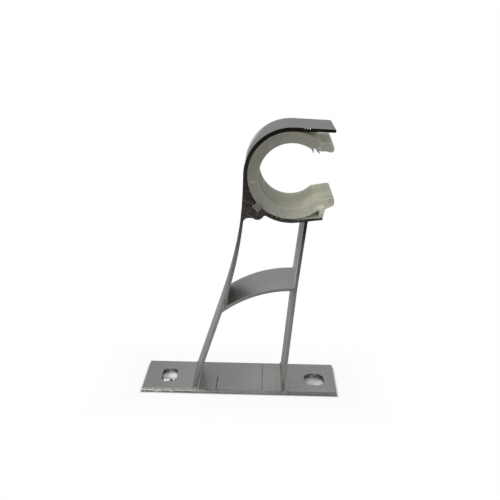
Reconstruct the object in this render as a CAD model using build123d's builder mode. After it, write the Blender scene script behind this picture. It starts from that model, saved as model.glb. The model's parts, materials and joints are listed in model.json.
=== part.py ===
from build123d import *

import os
from math import acos, atan2, cos, degrees, hypot, radians, sin, sqrt, tan

# Curtain pole bracket: a sawn slice of an aluminium extrusion, with a plastic liner
# keyed into its hooked head. The origin is the middle of the plate's underside, which
# lies on the wall. X runs along the plate, Y along the pole and Z away from the wall.
# Profiles are drawn in the XZ plane, as (x, z) points. Sizes are in millimetres.

os.makedirs("parts", exist_ok=True)

# Slice and wall plate
slice_width = 25.0
plate_length = 83.0
plate_thickness = 1.8
plate_end_round = 0.4
guide_line_spacing = 19.6
guide_line_width = 0.4

# Screw slots, set in from the plate's ends, with their long way along the pole
left_slot_inset = 10.4
left_slot_y = -0.5
left_slot_width = 6.3
left_slot_length = 12.0
right_slot_inset = 9.0
right_slot_y = -1.6
right_slot_width = 8.3
right_slot_length = 10.4

# Pole and liner
pole_x = 19.6
pole_standoff = 95.05
pole_seat_radius = 12.75
liner_wall = 4.4
liner_clearance = 0.1

# Head: a hook with a long upper arm that stands out past the seat, and a short lower arm
# that thins to its end
head_wall = 1.5
upper_arm_overhang = 3.55
upper_arm_drop = 0.65
upper_arm_tip = 1.15
upper_arm_round = 0.5
lower_arm_lift = 1.5
lower_arm_tip = 0.85
lower_arm_round = 0.3

# Legs, given by the middle of each foot and the lean off the square
leg_wall = 1.2
left_foot_x = -19.3
left_leg_lean = 17.8
right_foot_x = 18.7
right_leg_lean = 4.9
right_leg_upper_lean = 6.5
right_knee_radius = 40.0
foot_fillet = 1.2
leg_top_fillet = 0.6

# Arched brace between the legs, which meets the right leg squarely
brace_height = 47.6
brace_radius = 47.0
brace_wall = 1.2
brace_fillet = 0.7

# Solid web between the left leg and the head, from which a lobe bulges under the key
lobe_radius = 2.6
lobe_bulge = 0.7
lobe_fillet = 0.9
web_leg_fillet = 2.0

# Dovetail key of the liner
key_angle = 224.0
key_neck_width = 3.1
key_head_width = 3.6
key_depth = 2.5
key_corner_round = 0.25
key_side_clearance = 0.08
key_end_clearance = 0.2

# Lips of the liner: each closes the mouth by its grip and stands out past the seat
upper_lip_grip = 2.95
upper_lip_thickness = 3.15
upper_lip_overhang = 3.1
lower_lip_grip = 4.65
lower_lip_thickness = 3.2
lower_lip_overhang = 4.0
lip_tip_round = 1.1
lip_back_round = 0.6
lip_root_fillet = 0.5
mouth_corner_round = 1.5

# Bead along the upper lip's tip, and the ramp up to the flat of the lower lip
bead_height = 0.35
bead_length = 3.0
bead_ramp = 1.2
bead_round = 3.0
lower_lip_flat = 2.0
lower_lip_ramp = 5.2
lower_lip_ramp_rise = 0.95
lower_lip_ramp_round = 4.0

# Foot of the lower lip, set back from its tip, which stands on the end of the lower arm
foot_setback = 4.1
foot_width = 1.4
foot_neck_width = 2.2
foot_neck_drop = 1.6
foot_corner_round = 0.2
foot_neck_fillet = 0.5

# How closely an edge has to match a circle to be picked for a fillet
match_tolerance = 0.001

# Radii that follow from the walls
liner_radius = pole_seat_radius + liner_wall
liner_middle_radius = pole_seat_radius + liner_wall / 2
pocket_radius = liner_radius + liner_clearance
head_radius = pocket_radius + head_wall
head_middle_radius = pocket_radius + head_wall / 2

# How far the lips and the arms reach from the middle of the pole
upper_reach = pole_seat_radius + upper_lip_overhang
lower_reach = pole_seat_radius + lower_lip_overhang
upper_arm_reach = pole_seat_radius + upper_arm_overhang
lower_arm_reach = lower_reach - foot_setback


def from_pole(dx, dz):
    """The profile point at an offset from the middle of the pole."""
    return (pole_x + dx, pole_standoff + dz)


def round_pole(radius, angle, side=0.0):
    """The profile point at a radius and an angle in degrees about the pole, moved sideways."""
    a = radians(angle)
    return from_pole(radius * cos(a) - side * sin(a), radius * sin(a) + side * cos(a))


def touch_angle(dx, dz, radius):
    """The angle at which a line from an offset point touches a circle about the pole."""
    turn = degrees(acos(radius / hypot(dx, dz)))
    direction = degrees(atan2(dz, dx))
    return direction + turn if dz > 0 else direction - turn


def mouth_side(radius, dz):
    """How far to the mouth's side a circle about the pole lies at a height."""
    return sqrt(radius**2 - dz**2)


def key_outline(side_gap, end_gap):
    """Corners of the dovetail key, grown by a gap at its sides and at its end."""
    flare = (key_head_width - key_neck_width) / 2 / key_depth
    root_depth = liner_wall / 2
    reach = key_depth + end_gap
    root = key_neck_width / 2 - flare * root_depth + side_gap
    head = key_neck_width / 2 + flare * reach + side_gap
    return [
        round_pole(liner_radius - root_depth, key_angle, -root),
        round_pole(liner_radius + reach, key_angle, -head),
        round_pole(liner_radius + reach, key_angle, head),
        round_pole(liner_radius - root_depth, key_angle, root),
    ]


def distance(edge, point):
    """How far an edge along the slice lies from a point of the profile."""
    return hypot(edge.center().X - point[0], edge.center().Z - point[1])


def edges_near(part, *points):
    """For each point of the profile, the edge along the slice that lies nearest to it."""
    along = part.edges().filter_by(Axis.Y)
    return [min(along, key=lambda edge: distance(edge, point)) for point in points]


def edges_on_circle(part, middle, radius):
    """The edges along the slice that lie on a circle of the profile."""
    along = part.edges().filter_by(Axis.Y)
    return [edge for edge in along if abs(distance(edge, middle) - radius) < match_tolerance]


# Ends of the two arms, as offsets from the middle of the pole
upper_tip_out = (upper_arm_reach, head_radius - upper_arm_drop)
upper_tip_in = (upper_arm_reach, upper_tip_out[1] - upper_arm_tip)
lower_tip_out = (lower_arm_reach, lower_arm_lift - head_radius)
lower_tip_in = (lower_arm_reach, lower_tip_out[1] + lower_arm_tip)
upper_out_angle = touch_angle(*upper_tip_out, head_radius)
upper_in_angle = touch_angle(*upper_tip_in, pocket_radius)
lower_out_angle = touch_angle(*lower_tip_out, head_radius)
lower_in_angle = touch_angle(*lower_tip_in, pocket_radius)

# Left leg: straight from its foot, then an arc that runs into the side of the head
left_lean = radians(left_leg_lean)
left_top = from_pole(leg_wall / 2 - head_radius, 0)
left_run = left_top[0] - left_foot_x
left_bend_tangent = left_top[1] - plate_thickness - left_run / tan(left_lean)
left_bend_radius = left_bend_tangent / tan(left_lean / 2)
left_straight = left_run / sin(left_lean) - left_bend_tangent
left_direction = (sin(left_lean), cos(left_lean))
left_bend = (
    left_foot_x + left_straight * left_direction[0],
    plate_thickness + left_straight * left_direction[1],
)
left_start = (left_foot_x - plate_thickness / 2 * tan(left_lean), plate_thickness / 2)

# Right leg: two straight runs with a slight knee inside the brace
right_lean = radians(right_leg_lean)
right_start = (right_foot_x - plate_thickness / 2 * tan(right_lean), plate_thickness / 2)
right_knee_z = brace_height + brace_wall / 2
right_knee = (right_foot_x + (right_knee_z - plate_thickness) * tan(right_lean), right_knee_z)
head_bottom = pole_standoff - head_middle_radius
right_top_x = right_knee[0] + (head_bottom - right_knee_z) * tan(radians(right_leg_upper_lean))
right_top_lift = (right_top_x - pole_x) * lower_arm_lift / lower_arm_reach
right_top = (right_top_x, head_bottom + right_top_lift)

# Brace: the middle of its arch lies under the right leg's inner face
brace_middle = (right_knee[0] - leg_wall / 2, brace_height - brace_radius)

# Web: the lobe goes round a corner of the key's notch, and the web ends on the left leg
notch = key_outline(key_side_clearance, key_end_clearance)
lobe_middle = notch[2]
web_height = lobe_middle[1] - lobe_radius + lobe_bulge
web_drop = pole_standoff - web_height
web_leg_x = left_top[0] - left_bend_radius + sqrt(left_bend_radius**2 - web_drop**2)


def left_leg_path():
    """The left leg's middle line, from inside the plate to the side of the head."""
    Line(left_start, left_bend)
    TangentArc(left_bend, left_top, tangent=left_direction)


def right_leg_path():
    """The right leg's middle line, from inside the plate to inside the lower arm."""
    FilletPolyline(right_start, right_knee, right_top, radius=right_knee_radius)


# The aluminium bracket, one extrusion
with BuildPart() as bracket:
    with BuildSketch(Plane.XZ) as section:
        # Head, with the left side of its outer arc split where the left leg runs in
        with BuildLine():
            crown = CenterArc(from_pole(0, 0), head_radius, upper_out_angle, 180 - upper_out_angle)
            under = CenterArc(from_pole(0, 0), head_radius, 180, 180 + lower_out_angle)
            pocket_size = 360 + lower_in_angle - upper_in_angle
            pocket = CenterArc(from_pole(0, 0), pocket_radius, upper_in_angle, pocket_size)
            Polyline(crown @ 0, from_pole(*upper_tip_out), from_pole(*upper_tip_in), pocket @ 0)
            Polyline(under @ 1, from_pole(*lower_tip_out), from_pole(*lower_tip_in), pocket @ 1)
        make_face()

        # Web between the left leg and the head, with the lobe round the notch's corner
        with BuildLine():
            Polyline(
                left_top,
                (web_leg_x, web_height),
                (lobe_middle[0], web_height),
                lobe_middle,
                from_pole(0, 0),
                close=True,
            )
        make_face()
        with Locations(lobe_middle):
            Circle(lobe_radius)
        with Locations(from_pole(0, 0)):
            Circle(pocket_radius, mode=Mode.SUBTRACT)

        # Legs
        with BuildLine():
            left_leg_path()
        trace(line_width=leg_wall)
        with BuildLine():
            right_leg_path()
        trace(line_width=leg_wall)

        # Notch for the liner's key
        with BuildLine():
            Polyline(*notch, close=True)
        make_face(mode=Mode.SUBTRACT)

        # Wall plate, with a fine V of a guide line on each side of its middle
        with Locations((0, plate_thickness / 2)):
            Rectangle(plate_length, plate_thickness)
        for line_x in (-guide_line_spacing / 2, guide_line_spacing / 2):
            with Locations((line_x, plate_thickness)):
                RegularPolygon(guide_line_width / 2, side_count=4, mode=Mode.SUBTRACT)
    extrude(amount=slice_width / 2, both=True)

    # Brace: the part of a ring that lies between the legs' middle lines
    with BuildSketch(Plane.XZ) as brace:
        with Locations(brace_middle):
            Circle(brace_radius + brace_wall)
            Circle(brace_radius, mode=Mode.SUBTRACT)
        with BuildLine():
            left_leg_path()
            right_leg_path()
            Line(left_top, right_top)
            Line(left_start, right_start)
        make_face(mode=Mode.INTERSECT)
    extrude(amount=slice_width / 2, both=True)

    # Fillets where the walls meet
    left_half = leg_wall / 2 / cos(left_lean)
    right_half = leg_wall / 2 / cos(right_lean)
    feet = edges_near(
        bracket.part,
        (left_foot_x - left_half, plate_thickness),
        (left_foot_x + left_half, plate_thickness),
        (right_foot_x - right_half, plate_thickness),
        (right_foot_x + right_half, plate_thickness),
    )
    fillet(feet, foot_fillet)
    brace_ends = edges_on_circle(bracket.part, brace_middle, brace_radius)
    brace_ends += edges_on_circle(bracket.part, brace_middle, brace_radius + brace_wall)
    fillet(brace_ends, brace_fillet)
    leg_top_z = right_top[1] - head_wall / 2
    leg_top = edges_near(
        bracket.part,
        (right_top[0] - right_half, leg_top_z),
        (right_top[0] + right_half, leg_top_z),
    )
    fillet(leg_top, leg_top_fillet)
    fillet(edges_near(bracket.part, (web_leg_x + leg_wall / 2, web_height)), web_leg_fillet)
    fillet(edges_on_circle(bracket.part, lobe_middle, lobe_radius), lobe_fillet)

    # Rounded free ends of the arms and the plate
    upper_tip = edges_near(bracket.part, from_pole(*upper_tip_out), from_pole(*upper_tip_in))
    fillet(upper_tip, upper_arm_round)
    lower_tip = edges_near(bracket.part, from_pole(*lower_tip_out), from_pole(*lower_tip_in))
    fillet(lower_tip, lower_arm_round)
    across = bracket.edges().filter_by(Axis.Y).group_by(Axis.X)
    fillet(across[0] + across[-1], plate_end_round)

    # Screw slots
    with BuildSketch(Plane.XY.offset(plate_thickness)) as slots:
        with Locations((left_slot_inset - plate_length / 2, left_slot_y)):
            SlotOverall(left_slot_length, left_slot_width, rotation=90)
        with Locations((plate_length / 2 - right_slot_inset, right_slot_y)):
            SlotOverall(right_slot_length, right_slot_width, rotation=90)
    extrude(amount=-plate_thickness, mode=Mode.SUBTRACT)

bracket.part.label = "bracket"
export_step(bracket.part, "parts/bracket.step")

# Upper lip: its corners as offsets from the middle of the pole
upper_bottom = pole_seat_radius - upper_lip_grip
upper_top = upper_bottom + upper_lip_thickness
upper_root = mouth_side(liner_middle_radius, upper_top)
bead_start = (upper_reach - bead_length, upper_bottom)
bead_bottom = (bead_start[0] + bead_ramp, upper_bottom - bead_height)

# Lower lip: its mouth side slopes up from the seat to the flat of its tip
lower_top = lower_lip_grip - pole_seat_radius
lower_bottom = lower_top - lower_lip_thickness
lower_bend = (lower_reach - lower_lip_flat, lower_top)
lower_heel = (lower_bend[0] - lower_lip_ramp, lower_top - lower_lip_ramp_rise)
neck_height = lower_bottom - foot_neck_drop
lower_root_x = mouth_side(liner_middle_radius, neck_height)
ramp_gradient = lower_lip_ramp_rise / lower_lip_ramp
lower_root = (lower_root_x, lower_heel[1] - (lower_heel[0] - lower_root_x) * ramp_gradient)

# Foot of the lower lip: its sole lies along the lower arm, a liner's clearance above it
arm_touch = round_pole(pocket_radius, lower_in_angle)
arm_tip = from_pole(*lower_tip_in)
arm_gradient = (arm_tip[1] - arm_touch[1]) / (arm_tip[0] - arm_touch[0])
foot_outer = (lower_arm_reach, lower_tip_in[1] + liner_clearance)
foot_inner = (foot_outer[0] - foot_width, foot_outer[1] - foot_width * arm_gradient)

# The plastic liner, one extrusion that grips the pole
with BuildPart() as liner:
    with BuildSketch(Plane.XZ) as liner_section:
        with Locations(from_pole(0, 0)):
            Circle(liner_radius)

        # Mouth between the lips
        with BuildLine():
            Polyline(
                from_pole(0, upper_bottom),
                from_pole(head_radius, upper_bottom),
                from_pole(head_radius, lower_top),
                from_pole(*lower_bend),
                from_pole(*lower_root),
                from_pole(0, lower_top),
                close=True,
            )
        make_face(mode=Mode.SUBTRACT)

        # Upper lip, with a low bead along its tip
        upper_corners = {
            (upper_root, upper_bottom): 0,
            bead_start: bead_round,
            bead_bottom: bead_round,
            (upper_reach, bead_bottom[1]): lip_tip_round,
            (upper_reach, upper_top): lip_back_round,
            (upper_root, upper_top): 0,
        }
        with BuildLine():
            corners = [from_pole(*corner) for corner in upper_corners]
            FilletPolyline(*corners, radius=list(upper_corners.values()), close=True)
        make_face()

        # Lower lip, with its foot
        lower_corners = {
            lower_root: 0,
            lower_bend: lower_lip_ramp_round,
            (lower_reach, lower_top): lip_tip_round,
            (lower_reach, lower_bottom): lip_tip_round,
            (foot_inner[0] + foot_neck_width, neck_height): foot_neck_fillet,
            foot_outer: foot_corner_round,
            foot_inner: foot_corner_round,
            (foot_inner[0], neck_height): 0,
            (lower_root_x, neck_height): 0,
        }
        with BuildLine():
            corners = [from_pole(*corner) for corner in lower_corners]
            FilletPolyline(*corners, radius=list(lower_corners.values()), close=True)
        make_face()

        # Key and pole seat
        with BuildLine():
            Polyline(*key_outline(0, 0), close=True)
        make_face()
        with Locations(from_pole(0, 0)):
            Circle(pole_seat_radius, mode=Mode.SUBTRACT)
    extrude(amount=slice_width / 2, both=True)

    # Rounded corners of the mouth and the key, and fillets where lips and foot meet the ring
    mouth_corners = edges_near(
        liner.part,
        from_pole(mouth_side(pole_seat_radius, upper_bottom), upper_bottom),
        from_pole(mouth_side(pole_seat_radius, lower_heel[1]), lower_heel[1]),
    )
    fillet(mouth_corners, mouth_corner_round)
    lip_roots = edges_near(
        liner.part,
        from_pole(mouth_side(liner_radius, upper_top), upper_top),
        from_pole(foot_inner[0], -mouth_side(liner_radius, foot_inner[0])),
    )
    fillet(lip_roots, lip_root_fillet)
    fillet(edges_near(liner.part, *key_outline(0, 0)[1:3]), key_corner_round)

liner.part.label = "liner"
export_step(liner.part, "parts/liner.step")
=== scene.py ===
"""Curtain pole bracket: dresses the sawn aluminium extrusion and its plastic liner, and sets the stage."""

import json
import math

import bmesh
import bpy
from bpy.props import FloatProperty, FloatVectorProperty, IntProperty, PointerProperty
from mathutils import Matrix, Vector, noise


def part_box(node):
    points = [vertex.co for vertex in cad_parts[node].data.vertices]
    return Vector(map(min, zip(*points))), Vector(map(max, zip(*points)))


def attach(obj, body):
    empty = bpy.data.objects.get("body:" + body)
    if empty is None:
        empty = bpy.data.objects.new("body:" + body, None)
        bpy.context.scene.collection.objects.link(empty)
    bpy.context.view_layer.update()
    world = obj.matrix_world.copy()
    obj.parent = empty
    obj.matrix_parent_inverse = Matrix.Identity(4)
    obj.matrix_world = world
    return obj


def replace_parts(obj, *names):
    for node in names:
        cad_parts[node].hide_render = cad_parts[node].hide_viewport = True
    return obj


bl_info = {
    "name": "Curtain Pole Bracket",
    "version": (1, 0, 0),
    "blender": (4, 5, 0),
    "location": "View3D > Sidebar > Pole Bracket",
    "description": "Dresses an extruded curtain pole bracket with its plastic liner, and sets a plain stage",
    "category": "Object",
}

MM = 0.001

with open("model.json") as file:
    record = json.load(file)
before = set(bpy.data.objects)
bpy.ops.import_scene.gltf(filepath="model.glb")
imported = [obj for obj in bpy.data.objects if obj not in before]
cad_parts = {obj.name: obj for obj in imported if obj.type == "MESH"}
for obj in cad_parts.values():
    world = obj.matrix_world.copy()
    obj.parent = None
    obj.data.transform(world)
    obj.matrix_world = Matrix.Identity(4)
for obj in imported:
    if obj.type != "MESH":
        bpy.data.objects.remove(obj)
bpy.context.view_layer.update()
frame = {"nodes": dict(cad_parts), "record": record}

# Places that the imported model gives
MOUNTS = {mount["name"]: mount for mount in frame["record"]["mounts"]}
POLE = Vector(MOUNTS["pole_seat"]["pos_m"])
PART_LOW, PART_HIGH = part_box("bracket")
FRONT = PART_LOW.y
BACK = PART_HIGH.y
HEIGHT = PART_HIGH.z

# Heights on the extrusion, and places along it
PLATE_TOP = 1.8 * MM
LEG_FOOT = 3 * MM
LEG_TOP = 76 * MM
BETWEEN_LEGS = 10 * MM
GUIDE_LINE_REACH = 10.5 * MM
# Where the painted shade on the broken edges low on the sawn ends begins along X
SHADED_RIM_START = -22 * MM

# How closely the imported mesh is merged, and which of its edges count as corners
MERGE_DISTANCE = 1e-6
FLAT_ANGLE = math.radians(0.3)
FLAT_DISTANCE = 0.05 * MM
CORNER_ANGLE = math.radians(28)

# The materials of the extrusion and of the liner, in the order of their slots
DRAWN, SAWN, PUNCHED, PAINTED_SHADE, LEG_OUTER, ARM_TOP_LIGHT, LEG_INNER, UNDERSIDE_LIGHT, FRESH, RIGHT_LEG = range(10)
PLASTIC, LIT, BRIGHT, RIM = range(4)

# Strained spots on the liner's front end: middle (x, z) in mm, radius in mm and strength
STRAINED_SPOTS = (
    ((30.05, 105.75), 0.60, 0.45),
    ((31.3, 82.9), 1.35, 0.75),
    ((30.2, 83.0), 0.85, 0.65),
    ((32.0, 83.4), 0.75, 0.85),
    ((29.2, 82.3), 0.60, 0.45),
    ((32.2, 81.0), 1.20, 0.30),
)

# Strokes on the liner's front end: middle (x, z) in mm, angle, length and width in mm, strength
LIGHT_STROKES = (
    ((3.95, 92.75), -50, 1.3, 0.22, 0.8),
    ((4.95, 92.75), 30, 1.8, 0.22, 0.9),
    ((21.7, 112.4), 12, 1.3, 0.25, 0.5),
    ((30.25, 106.9), 100, 2.2, 0.40, 0.22),
    ((30.9, 107.6), 0, 0.5, 0.45, 0.8),
)
# The dark strokes are partly scratches and partly painted shade: the shadow of the upper arm on the upper lip
# and the lower lip's turned-away right side
DARK_MARKS_AND_SHADE = (
    ((34.9, 86.15), -3, 2.0, 0.34, 0.75),
    ((36.0, 85.1), 95, 2.8, 0.34, 0.65),
    ((28.0, 80.3), -68, 1.2, 0.28, 0.75),
    ((28.6, 80.2), 20, 1.0, 0.20, 0.45),
    ((33.4, 107.6), 10, 0.9, 0.45, 0.35),
    ((26.2, 110.6), -22, 6.5, 0.70, 0.35),
    ((29.7, 109.3), -22, 3.5, 0.60, 0.30),
)

# A small ring pressed into the front end of the lower lip
RING_MARK = (34.7, 85.2)
RING_RADIUS = 0.52 * MM

# Painted shade on the sawn end at the feet of both legs, given as the strokes are
FOOT_SHADE_LINES = (
    ((18.66, 4.60), 92, 5.0, 0.46, 0.85),
    ((18.62, 2.35), 76, 2.0, 0.46, 0.85),
    ((17.80, 1.32), 32, 2.2, 0.40, 0.80),
    ((19.90, 4.60), 88, 5.0, 0.46, 0.85),
    ((20.42, 2.05), -64, 2.0, 0.46, 0.85),
    ((21.60, 1.02), -14, 2.4, 0.40, 0.75),
    ((-19.77, 5.40), 72, 3.8, 0.46, 0.75),
    ((-20.58, 3.18), 66, 2.1, 0.46, 0.85),
    ((-21.97, 1.80), 31, 2.8, 0.42, 0.80),
    ((-17.35, 6.90), 68, 6.8, 0.42, 0.65),
    ((-18.74, 3.50), 66, 1.8, 0.42, 0.80),
    ((-13.87, 1.58), -5, 8.4, 0.36, 0.70),
)

# Painted shade on the sawn ends: darker from the plate (0) to the crown (1), as reflections of dark
# surroundings would make them; and the plate's end from left (0) to right (1)
SAWN_TONES = {
    0.0: (0.215, 0.216, 0.209), 0.06: (0.205, 0.206, 0.198), 0.17: (0.252, 0.253, 0.246),
    0.42: (0.166, 0.167, 0.159), 0.52: (0.120, 0.120, 0.113), 0.60: (0.078, 0.077, 0.072),
    0.70: (0.033, 0.031, 0.028), 0.77: (0.019, 0.0165, 0.015), 0.86: (0.016, 0.0135, 0.012),
    0.93: (0.011, 0.0095, 0.008), 0.97: (0.0062, 0.0052, 0.0045), 1.0: (0.0055, 0.0048, 0.0040),
}
PLATE_TONES = {
    0.0: (0.70, 0.695, 0.655), 0.22: (0.64, 0.635, 0.605), 0.30: (0.38, 0.38, 0.365),
    0.38: (0.305, 0.305, 0.298), 0.62: (0.325, 0.325, 0.318), 0.74: (0.262, 0.263, 0.255),
    0.87: (0.236, 0.236, 0.230), 1.0: (0.245, 0.245, 0.240),
}

# The middle of the saw blade's arcs
BLADE_MIDDLE = (60 * MM, 0.0, -95 * MM)

# Painted shade on the legs' sides: how light they are painted from the plate (0) to the head (1), as shares
# of the metal's colour
LEG_TONES = {0.0: 1.08, 0.3: 1.02, 0.46: 0.92, 0.56: 0.68, 0.66: 0.62, 0.8: 0.48, 1.0: 0.44}
# The right leg's left side, with a painted reflection that makes it pale a little above its middle
RIGHT_LEG_TONES = {
    0.0: 1.30, 0.14: 1.20, 0.3: 0.92, 0.5: 0.90, 0.58: 1.20,
    0.66: 1.90, 0.74: 1.40, 0.84: 0.95, 1.0: 0.80,
}

# Burrs at the left slot, one of them a dark lump painted as shadow, a notch there, and chips in the hook's
# crown: middle and half widths (x, y, z) in mm
SLOT_BURRS_AND_SHADOW = (
    ((-32.45, -5.35, 1.84), (0.58, 0.66, 0.58)),
    ((-32.0, -6.15, 1.72), (0.30, 0.50, 0.32)),
    ((-30.95, -5.65, 1.78), (0.80, 0.55, 0.50)),
    ((-29.7, -5.35, 1.70), (0.50, 0.85, 0.50)),
    ((-28.75, -4.5, 1.72), (0.42, 0.55, 0.42)),
)
SLOT_NOTCHES = (((-33.95, -4.3, 1.80), (0.35, 0.90, 0.45)),)
CROWN_CHIPS = (
    ((24.05, -12.55, 113.66), (0.20, 0.40, 0.50)),
    ((24.94, -12.55, 113.66), (0.19, 0.38, 0.44)),
    ((25.82, -12.55, 113.66), (0.20, 0.38, 0.46)),
)

# One of the slot's lumps is painted dark, as the shadow in a notch of the slot's rim: where it begins and
# ends along X
SHADOW_LUMP_FROM = -30.3 * MM
SHADOW_LUMP_TO = -29.1 * MM

# How finely the lumps' skins wander, and how far in mm
LUMP_GRAIN = 1400
LUMP_WANDER = 0.24

# How far the cutters run past the ends of the liner
CUTTER_MARGIN = 1.0 * MM

# Painted light on the floor under the slots: middle (x, y, z) and reach in mm, strength
SLOT_LIGHT = (
    ((-31.5, -2.8, 0.0), 4.4, 0.28),
    ((-31.4, 1.6, 0.0), 4.4, 0.32),
    ((-29.7, 2.1, 0.0), 4.0, 0.66),
    ((32.5, -1.6, 0.0), 5.6, 0.36),
    ((34.5, -2.0, 0.0), 4.6, 0.46),
)


def length_setting(name, description, millimetres):
    """A setting that is a length, with its default in mm."""
    return FloatProperty(name=name, description=description, default=millimetres * MM, unit="LENGTH")


def angle_setting(name, description, degrees):
    """A setting that is an angle, with its default in degrees."""
    return FloatProperty(name=name, description=description, default=math.radians(degrees), subtype="ANGLE")


def color_setting(name, description, default):
    """A setting that is a colour."""
    return FloatVectorProperty(name=name, description=description, default=default, subtype="COLOR")


class BracketLook(bpy.types.PropertyGroup):
    """The sawn slice of aluminium extrusion."""

    rim_chamfer: length_setting("Rim chamfer", "Width of the broken edge round the sawn faces", 0.08)
    slot_growth: length_setting("Slot tear", "How far the punch tore the slots' walls on average", 0.16)
    slot_roughness: length_setting("Slot raggedness", "How far the slots' torn walls wander", 0.30)
    metal_color: color_setting("Metal", "Colour of the drawn aluminium faces", (0.250, 0.253, 0.246))
    seed: IntProperty(name="Seed", description="Seed of the torn slots and of the edge's burrs", default=4)
    lump_seed: IntProperty(
        name="Lump seed",
        description="Seed of the slot's burrs and notch and of the crown's chips",
        default=1795791335,
    )


class BurrLook(bpy.types.PropertyGroup):
    """The burrs that sawing leaves along the plate's edge."""

    fringe_spacing: length_setting("Fringe spacing", "Distance between the small burrs along the edge", 0.5)
    fringe_size: length_setting("Fringe burr size", "Width of the small burrs along the edge", 0.42)


class LinerLook(bpy.types.PropertyGroup):
    """The milky plastic liner."""

    rim_round: length_setting("Rim rounding", "Rounding of the liner's cut ends", 0.16)
    # The plastic's two colours paint light and shade: lighter where light comes through it, darker where the
    # metal behind it shades it
    free_color: color_setting(
        "Plastic at the lips",
        "Colour of the milky plastic where light comes through it",
        (0.352, 0.356, 0.301),
    )
    backed_color: color_setting(
        "Plastic in the hook",
        "Colour of the milky plastic where the metal lies behind it",
        (0.162, 0.163, 0.138),
    )
    nick_depth: length_setting("Nick depth", "How far the nick in the upper lip runs in along the pole", 12.0)


class StageLook(bpy.types.PropertyGroup):
    """Camera, floor and lights."""

    camera_place: FloatVectorProperty(
        name="Camera",
        description="Place of the camera",
        default=(9.813 * MM, -284.124 * MM, 156.209 * MM),
        subtype="TRANSLATION",
        unit="LENGTH",
    )
    camera_tilt: angle_setting("Tilt", "How far the camera looks down", 18.590)
    camera_pan: angle_setting("Pan", "How far the camera turns to the right", -1.241)
    camera_roll: angle_setting("Roll", "How far the camera rolls to the left", 0.773)
    camera_lens: FloatProperty(
        name="Lens",
        description="Focal length on a 36 mm sensor, in millimetres",
        default=51.84,
    )
    floor_color: color_setting("Floor", "Colour of the floor", (0.37, 0.37, 0.365))
    floor_reach: length_setting("Floor reach", "How far the floor runs from the bracket", 6000.0)


class PoleBracketSettings(bpy.types.PropertyGroup):
    """All settings of the pole bracket."""

    bracket: PointerProperty(type=BracketLook)
    burrs: PointerProperty(type=BurrLook)
    liner: PointerProperty(type=LinerLook)
    stage: PointerProperty(type=StageLook)


def look():
    """The scene's settings of all the pieces."""
    return bpy.context.scene.pole_bracket


def new_object(name, mesh):
    """Links a new object that holds the mesh, at the origin."""
    piece = bpy.data.objects.new(name, mesh)
    bpy.context.scene.collection.objects.link(piece)
    return piece


def merged_copy(node):
    """A CAD node's faces with their loose triangles merged, as an editable mesh."""
    shell = bmesh.new()
    shell.from_mesh(frame["nodes"][node].data)
    bmesh.ops.remove_doubles(shell, verts=shell.verts, dist=MERGE_DISTANCE)
    bmesh.ops.dissolve_limit(
        shell,
        angle_limit=FLAT_ANGLE,
        use_dissolve_boundaries=False,
        verts=shell.verts,
        edges=shell.edges,
    )
    return shell


def is_sawn(face):
    """Whether a face belongs to one of the two sawn or cut ends."""
    return abs(face.normal.y) > 0.99 and abs(face.calc_center_median().y) > BACK - FLAT_DISTANCE


def is_rim(edge):
    """Whether an edge runs round one of the cut ends."""
    if len(edge.link_faces) != 2 or edge.calc_face_angle() <= CORNER_ANGLE:
        return False
    return sum(is_sawn(face) for face in edge.link_faces) == 1


def round_rims(shell, width, segments):
    """Breaks the edges all round the two cut ends."""
    rims = [edge for edge in shell.edges if is_rim(edge)]
    bmesh.ops.bevel(
        shell,
        geom=rims,
        offset=width,
        offset_type="OFFSET",
        segments=segments,
        profile=0.5,
        affect="EDGES",
        clamp_overlap=False,
    )


def close_rings(shell, rings):
    """Joins rings of the same number of corners into a closed shape, with a face at either end."""
    for lower, upper in zip(rings, rings[1:]):
        for i in range(len(lower)):
            j = (i + 1) % len(lower)
            shell.faces.new((lower[i], lower[j], upper[j], upper[i]))
    shell.faces.new(list(reversed(rings[0])))
    shell.faces.new(rings[-1])


def mesh_from(shell, name, materials=(), pick_material=None):
    """Turns an editable mesh into a finished one, with a material picked for each face."""
    shell.normal_update()
    for face in shell.faces:
        face.smooth = True
        if pick_material:
            face.material_index = pick_material(face)
    mesh = bpy.data.meshes.new(name)
    shell.to_mesh(mesh)
    shell.free()
    for material in materials:
        mesh.materials.append(material)
    return mesh


def evaluated_copy(piece, name):
    """A plain mesh of the piece as its modifiers shape it."""
    graph = bpy.context.evaluated_depsgraph_get()
    mesh = bpy.data.meshes.new_from_object(piece.evaluated_get(graph))
    mesh.name = name
    return mesh


def work_in_modifiers(piece):
    """Replaces the piece's mesh by the one that its modifiers give, and removes them."""
    mesh = evaluated_copy(piece, piece.name)
    piece.modifiers.clear()
    piece.data = mesh


def close_slivers(mesh):
    """Fills the slivers that a cut may leave open."""
    shell = bmesh.new()
    shell.from_mesh(mesh)
    gaps = [edge for edge in shell.edges if edge.is_boundary]
    for face in bmesh.ops.holes_fill(shell, edges=gaps, sides=4)["faces"]:
        face.material_index = face.edges[0].link_faces[0].material_index
    bmesh.ops.recalc_face_normals(shell, faces=shell.faces)
    shell.to_mesh(mesh)
    shell.free()


def cut_away(piece, cutter_mesh):
    """Cuts a closed mesh out of the piece."""
    cutter = new_object("cutter", cutter_mesh)
    cut = piece.modifiers.new("cut", "BOOLEAN")
    cut.operation = "DIFFERENCE"
    cut.solver = "EXACT"
    cut.object = cutter
    work_in_modifiers(piece)
    bpy.data.objects.remove(cutter)
    close_slivers(piece.data)


def shade_evenly(piece):
    """Keeps corners sharp and flat faces flat beside the rounded ones."""
    piece.data.set_sharp_from_angle(angle=CORNER_ANGLE)
    weights = piece.modifiers.new("weights", "WEIGHTED_NORMAL")
    weights.keep_sharp = True
    weights.weight = 80
    work_in_modifiers(piece)


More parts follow.
